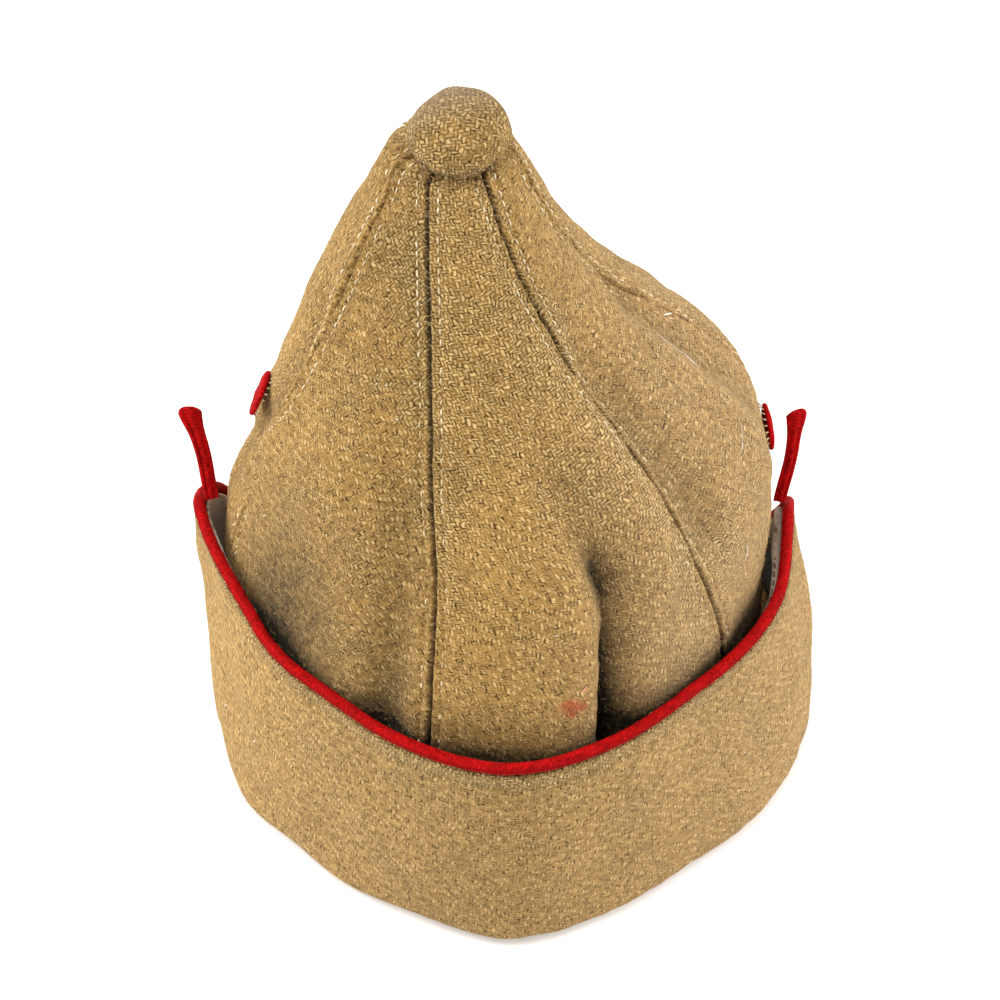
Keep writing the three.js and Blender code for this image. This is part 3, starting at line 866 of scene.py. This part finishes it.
def linear(hex_code):
    """An sRGB hex colour as linear red, green, blue and alpha."""
    value = np.array([int(hex_code[i:i + 2], 16) for i in (1, 3, 5)]) / 255
    value = np.where(value <= 0.04045, value / 12.92, ((value + 0.055) / 1.055) ** 2.4)
    return (*value, 1.0)


def add(tree, kind, links=None, out=0, **settings):
    """Adds a node with its settings, and its inputs as values or links; gives one output."""
    made = tree.nodes.new(kind)
    for name, value in settings.items():
        setattr(made, name, value)
    for key, value in (links or {}).items():
        if isinstance(value, bpy.types.NodeSocket):
            tree.links.new(value, made.inputs[key])
        else:
            made.inputs[key].default_value = value
    return made.outputs[out]


def new_material(name, **shader_values):
    """A material with its shader's plain values set; gives its node tree and shader too."""
    material = bpy.data.materials.new(name)
    material.use_nodes = True
    tree = material.node_tree
    shader = tree.nodes["Principled BSDF"]
    for key, value in shader_values.items():
        shader.inputs[key.replace("_", " ")].default_value = value
    return material, tree, shader


def twill_relief(tree, cloth, warp, weft):
    """Relief of a 2/2 twill, 0 in the gaps between yarns to 1 on them, and a number for each
    float. Each step is one Math node: its name, its operation and its terms."""
    steps = [
        ("u", "DIVIDE", "x", warp),
        ("v", "DIVIDE", "y", weft),
        ("column", "FLOOR", "u"),
        ("row", "FLOOR", "v"),
        ("in_u", "FRACT", "u"),
        ("in_v", "FRACT", "v"),
        ("diagonal", "ADD", "column", "row"),
        ("place", "FLOORED_MODULO", "diagonal", 4.0),
        ("warp_shows", "LESS_THAN", "place", 2.0),
        ("weft_shows", "SUBTRACT", 1.0, "warp_shows"),
        ("warp_side", "MULTIPLY_ADD", "in_u", 2.6, -1.3),
        ("weft_side", "MULTIPLY_ADD", "in_v", 2.5, -1.25),
        ("warp_run", "ADD", "place", "in_v"),
        ("weft_run", "ADD", "place", "in_u"),
        ("warp_end", "MULTIPLY_ADD", "warp_run", 1.06, -1.06),
        ("weft_end", "MULTIPLY_ADD", "weft_run", 1.16, -3.48),
        ("side_a", "MULTIPLY", "warp_side", "warp_shows"),
        ("side", "MULTIPLY_ADD", "weft_side", "weft_shows", "side_a"),
        ("end_a", "MULTIPLY", "warp_end", "warp_shows"),
        ("end", "MULTIPLY_ADD", "weft_end", "weft_shows", "end_a"),
        ("side_2", "MULTIPLY", "side", "side"),
        ("end_2", "MULTIPLY", "end", "end"),
        ("end_4", "MULTIPLY", "end_2", "end_2"),
        ("round", "SUBTRACT", 1.0, "side_2"),
        ("arch", "SUBTRACT", 1.0, "end_4"),
        ("round_up", "MAXIMUM", "round", 0.0),
        ("arch_up", "MAXIMUM", "arch", 0.0),
        ("relief", "MULTIPLY", "round_up", "arch_up"),
        ("warp_first", "SUBTRACT", "row", "place"),
        ("weft_first", "SUBTRACT", "column", "place"),
        ("key_a", "MULTIPLY", "warp_first", "warp_shows"),
        ("key_x", "MULTIPLY_ADD", "weft_first", "weft_shows", "key_a"),
        ("key_b", "MULTIPLY", "column", "warp_shows"),
        ("key_y", "MULTIPLY_ADD", "row", "weft_shows", "key_b"),
    ]
    split = add(tree, "ShaderNodeSeparateXYZ", {0: cloth}).node
    known = {"x": split.outputs[0], "y": split.outputs[1]}
    for name, operation, *terms in steps:
        inputs = {i: known.get(term, term) for i, term in enumerate(terms)}
        known[name] = add(tree, "ShaderNodeMath", inputs, operation=operation)
    x, y, warp_shows = (known[name] for name in ("key_x", "key_y", "warp_shows"))
    key = add(tree, "ShaderNodeCombineXYZ", {0: x, 1: y, 2: warp_shows})
    return known["relief"], add(tree, "ShaderNodeTexWhiteNoise", {"Vector": key}), warp_shows


def wander(tree, place, scale, reach):
    """Places shifted by a soft noise of that scale, by up to about a quarter of the reach."""
    drift = add(tree, "ShaderNodeTexNoise", {"Vector": place, "Scale": scale, "Detail": 1.0}, 1)
    drift = add(tree, "ShaderNodeVectorMath", {0: drift, 1: (0.5, 0.5, 0.5)}, operation="SUBTRACT")
    reaches = (reach, reach, 0)
    return add(tree, "ShaderNodeVectorMath", {0: drift, 1: reaches, 2: place}, operation="MULTIPLY_ADD")


def strokes(tree, place, long, wide, detail=2.0):
    """A noise of strokes of that length along x and that width, spread from 0 to 1."""
    laid = add(tree, "ShaderNodeMapping", {"Vector": place, "Scale": (long, wide, 1)}, vector_type="TEXTURE")
    noise = add(tree, "ShaderNodeTexNoise", {
        "Vector": laid, "Scale": 1.0, "Detail": detail, "Roughness": 0.62, "Distortion": 0.5})
    return add(tree, "ShaderNodeMapRange", {"Value": noise, "From Min": 0.34, "From Max": 0.66})


def twill_wool(name, light, body, dark, pitch, streak, floats):
    """Wool woven as a 2/2 twill and milled. The eye gets plump matt yarns of fine fibres with
    gaps between them darkened by painted shade and crests paled by painted highlight, or where
    felt is 1 a nap with short grains lit by painted highlight, where yarns still stand out, and
    pits darkened by painted shade. Real fibres are ten times as fine; they are drawn in tufts so
    that they show."""
    warp, weft = pitch, 0.8 * pitch
    material, tree, shader = new_material(
        name, Roughness=0.95, Sheen_Weight=0.2, Sheen_Roughness=0.45, Specular_IOR_Level=0.05)
    shader.inputs["Sheen Tint"].default_value = linear("#fff0d2")
    place = add(tree, "ShaderNodeAttribute", {}, 1, attribute_name="cloth")
    felt, soil, paint, dust = (
        add(tree, "ShaderNodeAttribute", {}, 2, attribute_name=key)
        for key in ("felt", "soil", "paint", "dust"))
    bent = wander(tree, wander(tree, wander(tree, place, 0.14, 3.0), 0.5, 1.3), 1.3, 0.55)
    relief, each, warp_shows = twill_relief(tree, bent, warp, weft)
    hair = strokes(tree, place, streak, 0.4, 3.0)
    patch = add(tree, "ShaderNodeTexNoise", {"Vector": place, "Scale": 0.05, "Detail": 3.0, "Roughness": 0.6})
    # Milling is uneven, so that yarns show here and there
    uneven = add(tree, "ShaderNodeMapRange", {
        "Value": patch, "From Min": 0.35, "From Max": 0.65, "To Min": -0.25, "To Max": 0.25})
    milled = add(tree, "ShaderNodeMath", {0: felt, 1: uneven}, operation="ADD")
    milled = add(tree, "ShaderNodeMapRange", {"Value": milled, "From Min": 0.1, "From Max": 0.8})
    # On the nap only some floats of the warp stand out, and only some gaps are open
    stands = add(tree, "ShaderNodeMapRange", {
        "Value": each, "From Min": 0.1, "From Max": 0.8, "To Max": floats})
    stands = add(tree, "ShaderNodeMath", {0: stands, 1: warp_shows}, operation="MULTIPLY")
    woven = add(tree, "ShaderNodeMapRange", {"Value": each, "To Min": 0.35, "To Max": 1.1})
    stands = add(tree, "ShaderNodeMix", {0: milled, 2: woven, 3: stands})
    holes = add(tree, "ShaderNodeTexNoise", {"Vector": place, "Scale": 0.5, "Detail": 2.0})
    holes = add(tree, "ShaderNodeMapRange", {"Value": holes, "From Min": 0.46, "From Max": 0.64})
    wide_holes = add(tree, "ShaderNodeMath", {0: holes, 1: 0.65, 2: 0.35}, operation="MULTIPLY_ADD")
    holes = add(tree, "ShaderNodeMix", {0: milled, 2: wide_holes, 3: holes})
    crest = add(tree, "ShaderNodeMapRange", {"Value": relief, "From Min": 0.2, "From Max": 0.95})
    crest = add(tree, "ShaderNodeMath", {0: crest, 1: stands}, operation="MULTIPLY")
    gap = add(tree, "ShaderNodeMapRange", {"Value": relief, "From Min": 0.25, "From Max": 0.0})
    pit = add(tree, "ShaderNodeMath", {0: gap, 1: holes}, operation="MULTIPLY")
    surface = add(tree, "ShaderNodeMath", {0: hair, 1: 0.4, 2: 0.32}, operation="MULTIPLY_ADD")
    surface = add(tree, "ShaderNodeMath", {0: crest, 1: 0.45, 2: surface}, operation="MULTIPLY_ADD")
    surface = add(tree, "ShaderNodeMath", {0: pit, 1: -0.46, 2: surface}, operation="MULTIPLY_ADD")
    # Colour: painted shade in the gaps, painted highlight pale on the tips, and a tone of its own for each
    # float
    low = add(tree, "ShaderNodeMapRange", {"Value": surface, "From Max": 0.5})
    high = add(tree, "ShaderNodeMapRange", {"Value": surface, "From Min": 0.5})
    colour = add(tree, "ShaderNodeMix", {0: low, 6: linear(dark), 7: linear(body)}, 2, data_type="RGBA")
    colour = add(tree, "ShaderNodeMix", {0: high, 6: colour, 7: linear(light)}, 2, data_type="RGBA")
    # Dust, and a painted cool light from the right, turn the colour greyish pink
    colour = add(tree, "ShaderNodeMix", {0: dust, 6: colour, 7: linear("#b09a86")}, 2, data_type="RGBA")
    smear = add(tree, "ShaderNodeMath", {0: paint, 1: 0.62}, operation="MULTIPLY")
    colour = add(tree, "ShaderNodeMix", {0: smear, 6: colour, 7: linear("#b8361f")}, 2, data_type="RGBA")
    shade = add(tree, "ShaderNodeMapRange", {"Value": each, "To Min": 0.84, "To Max": 1.14})
    blotch = add(tree, "ShaderNodeMapRange", {
        "Value": patch, "From Min": 0.3, "From Max": 0.7, "To Min": 0.9, "To Max": 1.08})
    lightness = add(tree, "ShaderNodeMath", {0: shade, 1: blotch}, operation="MULTIPLY")
    # Painted shade and grime from the attribute darken the colour
    tone = add(tree, "ShaderNodeMath", {0: soil, 1: -0.98, 2: lightness}, operation="MULTIPLY_ADD")
    tone = add(tree, "ShaderNodeMath", {0: tone, 1: 0.02}, operation="MAXIMUM")
    colour = add(tree, "ShaderNodeVectorMath", {0: colour, 3: tone}, operation="SCALE")
    tree.links.new(colour, shader.inputs["Base Color"])
    bump = add(tree, "ShaderNodeBump", {"Height": surface, "Strength": 1.0, "Distance": 0.0007})
    tree.links.new(bump, shader.inputs["Normal"])
    return material


def ribbed_wool(name, light, dark):
    """Red woollen cloth sewn round a cord. The eye gets a smooth matt roll with short fine
    ribs across it, 0.3 mm apart on the real one and drawn at 0.45 mm to show."""
    material, tree, shader = new_material(
        name, Roughness=0.85, Specular_IOR_Level=0.08)
    place = add(tree, "ShaderNodeAttribute", {}, 1, attribute_name="cloth")
    ribs = strokes(tree, place, 0.42, 1.5)
    tone = strokes(tree, place, 6.0, 3.0)
    mixed = add(tree, "ShaderNodeMix", {0: 0.35, 2: ribs, 3: tone})
    colour = add(tree, "ShaderNodeMix", {0: mixed, 6: linear(dark), 7: linear(light)}, 2, data_type="RGBA")
    # Painted shade in the loops' grooves darkens the colour
    soil = add(tree, "ShaderNodeAttribute", {}, 2, attribute_name="soil")
    lightness = add(tree, "ShaderNodeMath", {0: soil, 1: -0.95, 2: 1.0}, operation="MULTIPLY_ADD")
    colour = add(tree, "ShaderNodeVectorMath", {0: colour, 3: lightness}, operation="SCALE")
    tree.links.new(colour, shader.inputs["Base Color"])
    bump = add(tree, "ShaderNodeBump", {"Height": ribs, "Strength": 1.0, "Distance": 0.0005})
    tree.links.new(bump, shader.inputs["Normal"])
    return material


def brushed_flannel(name, light, dark):
    """Cotton flannel, brushed. The eye gets a dull grey-beige nap with faint level ribs, darkened
    by painted shade deep in the trough behind the flap."""
    material, tree, shader = new_material(
        name, Roughness=0.95, Sheen_Weight=0.2, Sheen_Roughness=0.5, Specular_IOR_Level=0.1)
    place = add(tree, "ShaderNodeAttribute", {}, 1, attribute_name="cloth")
    soil = add(tree, "ShaderNodeAttribute", {}, 2, attribute_name="soil")
    nap = strokes(tree, place, 2.4, 0.7, 4.0)
    colour = add(tree, "ShaderNodeMix", {0: nap, 6: linear(dark), 7: linear(light)}, 2, data_type="RGBA")
    # Painted shade of the trough darkens the colour
    lightness = add(tree, "ShaderNodeMath", {0: soil, 1: -0.96, 2: 1.0}, operation="MULTIPLY_ADD")
    colour = add(tree, "ShaderNodeVectorMath", {0: colour, 3: lightness}, operation="SCALE")
    tree.links.new(colour, shader.inputs["Base Color"])
    bump = add(tree, "ShaderNodeBump", {"Height": nap, "Strength": 0.5, "Distance": 0.00025})
    tree.links.new(bump, shader.inputs["Normal"])
    return material


def linen_thread(name, light, dark):
    """Waxed linen thread, twisted. The eye gets pale, faintly glossy short strokes."""
    material, tree, shader = new_material(name, Roughness=0.6, Specular_IOR_Level=0.3)
    where = add(tree, "ShaderNodeTexCoord", {}, 3)
    grime = add(tree, "ShaderNodeTexNoise", {"Vector": where, "Scale": 160.0, "Detail": 2.0})
    share = add(tree, "ShaderNodeMapRange", {"Value": grime, "From Min": 0.35, "From Max": 0.62})
    colour = add(tree, "ShaderNodeMix", {0: share, 6: linear(dark), 7: linear(light)}, 2, data_type="RGBA")
    tree.links.new(colour, shader.inputs["Base Color"])
    return material


def on_skin(skins, az, z, lift):
    """A place at that distance over the cloth nearest to an azimuth and a height."""
    found = []
    for skin in skins:
        away = ((skin.az - az + 180) % 360 - 180) ** 2 * 3 + (skin.z - z) ** 2
        i = np.unravel_index(np.argmin(away), away.shape)
        found.append((away[i], tuple(skin.points[i] + skin.out[i] * lift)))
    return min(found)[1]


def loose_fibres(skins, counts, radius):
    """Short wool fibres that stand off the cloth, each a thin arc rooted at both ends."""
    paths = []
    for skin, count in zip(skins, counts):
        rows, cols = skin.az.shape
        i, j = chance.integers(4, rows - 4, count), chance.integers(4, cols - 4, count)
        out = skin.out[i, j]
        way = chance.normal(size=(count, 3))
        way = unit(way - out * np.sum(way * out, axis=1, keepdims=True))
        bend = np.cross(out, way) * chance.normal(0, 0.35, (count, 1))
        long = chance.uniform(0.9, 2.6, (count, 1))
        high = chance.uniform(0.15, 0.55, (count, 1))
        share = np.linspace(0, 1, 4)[:, None]
        arc = np.sin(share * np.pi)
        start = skin.points[i, j] - out * 0.1
        paths.append(start[:, None] + (way * long)[:, None] * share + (bend * long)[:, None] * arc * 0.4
                     + (out * high)[:, None] * arc)
    paths = np.concatenate(paths)
    paths = paths[paths[..., 2].min(axis=1) > 1]
    thin = radius * np.array([0.6, 1, 1, 0.5])
    return tubes(paths, ASKEW, thin, thin, 3)


def thread_on(points, radius):
    """One bit of thread along a smooth curve through a few points."""
    path = smooth_path(points, 0.25)
    share = np.linspace(0, 1, len(path))
    thick = radius * np.sin(np.clip(share, 0.06, 0.94) * np.pi) ** 0.3
    return tubes(path[None], ASKEW, thick, thick, 6)


def lint(crown_skins, flap_skins):
    """White threads and specks on the crown and the flap."""
    bits = []
    for radius, places in CROWN_LINT:
        bits.append(thread_on([on_skin(crown_skins, *at, 0.25) for at in places], radius))
    for skins, places in ((crown_skins, CROWN_SPECKS), (flap_skins, FLAP_SPECKS)):
        for at in places:
            speck = np.array(on_skin(skins, *at, 0.2))
            bits.append(thread_on([speck - (0.35, 0, 0.1), speck + (0.35, 0, 0.2)], SPECK_RADIUS))
    return bits


def whip_stitches(az, z, lift):
    """Small stitches round the underside of a side button."""
    spot, out = over_crown(az, z, lift)
    turn = np.linspace(0, 2 * np.pi, 22, endpoint=False)[:, None]
    share = np.linspace(0, 1, 5)
    reach, high = 7.3 + 0.9 * share, -0.15 - 0.75 * share
    points = np.stack(np.broadcast_arrays(np.cos(turn) * reach, np.sin(turn) * reach, high), axis=-1)
    paths = placed(points.reshape(-1, 3), spot, out).reshape(points.shape)
    thin = np.full(5, 0.24)
    return tubes(paths, out, thin, thin, 6)


def stage():
    """A plain pale floor, soft light from both sides and above, and the camera."""
    mesh = bpy.data.meshes.new("floor")
    mesh.from_pydata([(-6, -6, 0), (6, -6, 0), (6, 6, 0), (-6, 6, 0)], [], [(0, 1, 2, 3)])
    floor = bpy.data.objects.new("floor", mesh)
    material, _, shader = new_material("white sweep, painted", Roughness=0.9)
    shader.inputs["Base Color"].default_value = (0.9, 0.9, 0.9, 1)
    shader.inputs["Emission Color"].default_value = (1, 1, 1, 1)
    shader.inputs["Emission Strength"].default_value = 0.25
    mesh.materials.append(material)
    bpy.context.scene.collection.objects.link(floor)
    world = bpy.data.worlds.new("studio")
    world.use_nodes = True
    world.node_tree.nodes["Background"].inputs["Color"].default_value = (1, 1, 1, 1)
    world.node_tree.nodes["Background"].inputs["Strength"].default_value = 0.72
    bpy.context.scene.world = world
    lamps = [
        ("left_softbox", (-1.2, 0.15, 0.6), 0.9, 13),
        ("right_softbox", (1.2, 0.2, 0.65), 0.9, 12),
        ("top_softbox", (-0.2, -0.25, 1.5), 0.7, 9),
    ]
    for name, place, size, watts in lamps:
        light = bpy.data.lights.new(name, "AREA")
        light.shape = "SQUARE"
        light.size = size
        light.energy = watts
        lamp = bpy.data.objects.new(name, light)
        lamp.location = place
        toward = np.array([0, 0, 0.1]) - np.array(place)
        lamp.rotation_mode = "QUATERNION"
        lamp.rotation_quaternion = Vector(toward).to_track_quat("-Z", "Y")
        bpy.context.scene.collection.objects.link(lamp)
    view = bpy.data.cameras.new("camera")
    view.lens = 139.5
    view.sensor_width = 36
    camera = bpy.data.objects.new("camera", view)
    elevation, distance = np.radians(47), 1.3
    aim = Vector((-0.0009, -0.0151, 0.088))
    camera.location = aim + distance * Vector((0, -np.cos(elevation), np.sin(elevation)))
    camera.rotation_euler = (np.pi / 2 - elevation, 0, 0)
    bpy.context.scene.collection.objects.link(camera)
    bpy.context.scene.camera = camera
    bpy.context.scene.view_settings.view_transform = "Standard"


def main():
    stage()
    wool = twill_wool("wool twill, woven and milled", "#eecd8d", "#b78c4a", "#3c260c", 1.2, 0.9, 0.8)
    broadcloth = twill_wool("wool twill, milled and napped", "#f1d297", "#c09656", "#46300f", 1.2, 2.2, 0.6)
    red = ribbed_wool("red woollen cloth, corded", "#e2100f", "#780204")
    flannel = brushed_flannel("cotton flannel, brushed", "#d6c6b5", "#ae9d8d")
    thread = linen_thread("linen thread, twisted", "#e9dab6", "#bda271")
    fluff = linen_thread("wool fibres, loose", "#e3c88e", "#c6a05c")
    stitches, crown_skins, flap_skins = [], [], []
    for cut in GORES:
        make_piece(cut.node + "_cloth", [gore(cut, stitches, crown_skins)], wool, "wool_twill", cut.node)
    make_piece("top_button_cloth", [top_knob()], wool, "wool_twill", "top_button")
    make_piece("flap_outer_cloth", [flap_cloth(0.85, flap_skins)], broadcloth, "felted_wool", "flap_cloth")
    make_piece("flap_flannel", [flap_lining()], flannel, "flannel", "flap_lining")
    make_piece("flap_piping_cord", [piping()], red, "red_wool", "flap_piping")
    for name, terms in LOOPS.items():
        make_piece(name + "_cord", [loop(*terms)], red, "red_wool", name)
    for name, terms in SIDE_BUTTONS.items():
        make_piece(name + "_cloth", [side_button(*terms)], red, "red_wool", name)
    make_piece("peak_cloth", [peak(stitches)], broadcloth, "felted_wool", "peak")
    make_piece("seam_stitching", stitches, thread, "wool_twill")
    whips = [whip_stitches(*terms) for terms in SIDE_BUTTONS.values()]
    make_piece("button_stitching", whips, thread, "red_wool")
    cotton = linen_thread("cotton lint, white", "#fbf5ea", "#d9ccb4")
    make_piece("lint", lint(crown_skins, flap_skins), cotton, "wool_twill")
    radius, places = PINK_TICK
    tick = thread_on([on_skin(crown_skins, *at, 0.3) for at in places], radius)
    pink = linen_thread("cotton thread, faded pink", "#f3aca0", "#e08d84")
    make_piece("pink_thread", [tick], pink, "wool_twill")
    make_piece("crown_fibres", [loose_fibres(crown_skins, CROWN_FIBRES, 0.06)], fluff, "wool_twill")
    make_piece("flap_fibres", [loose_fibres(flap_skins, FLAP_FIBRES, 0.05)], fluff, "felted_wool")


main()
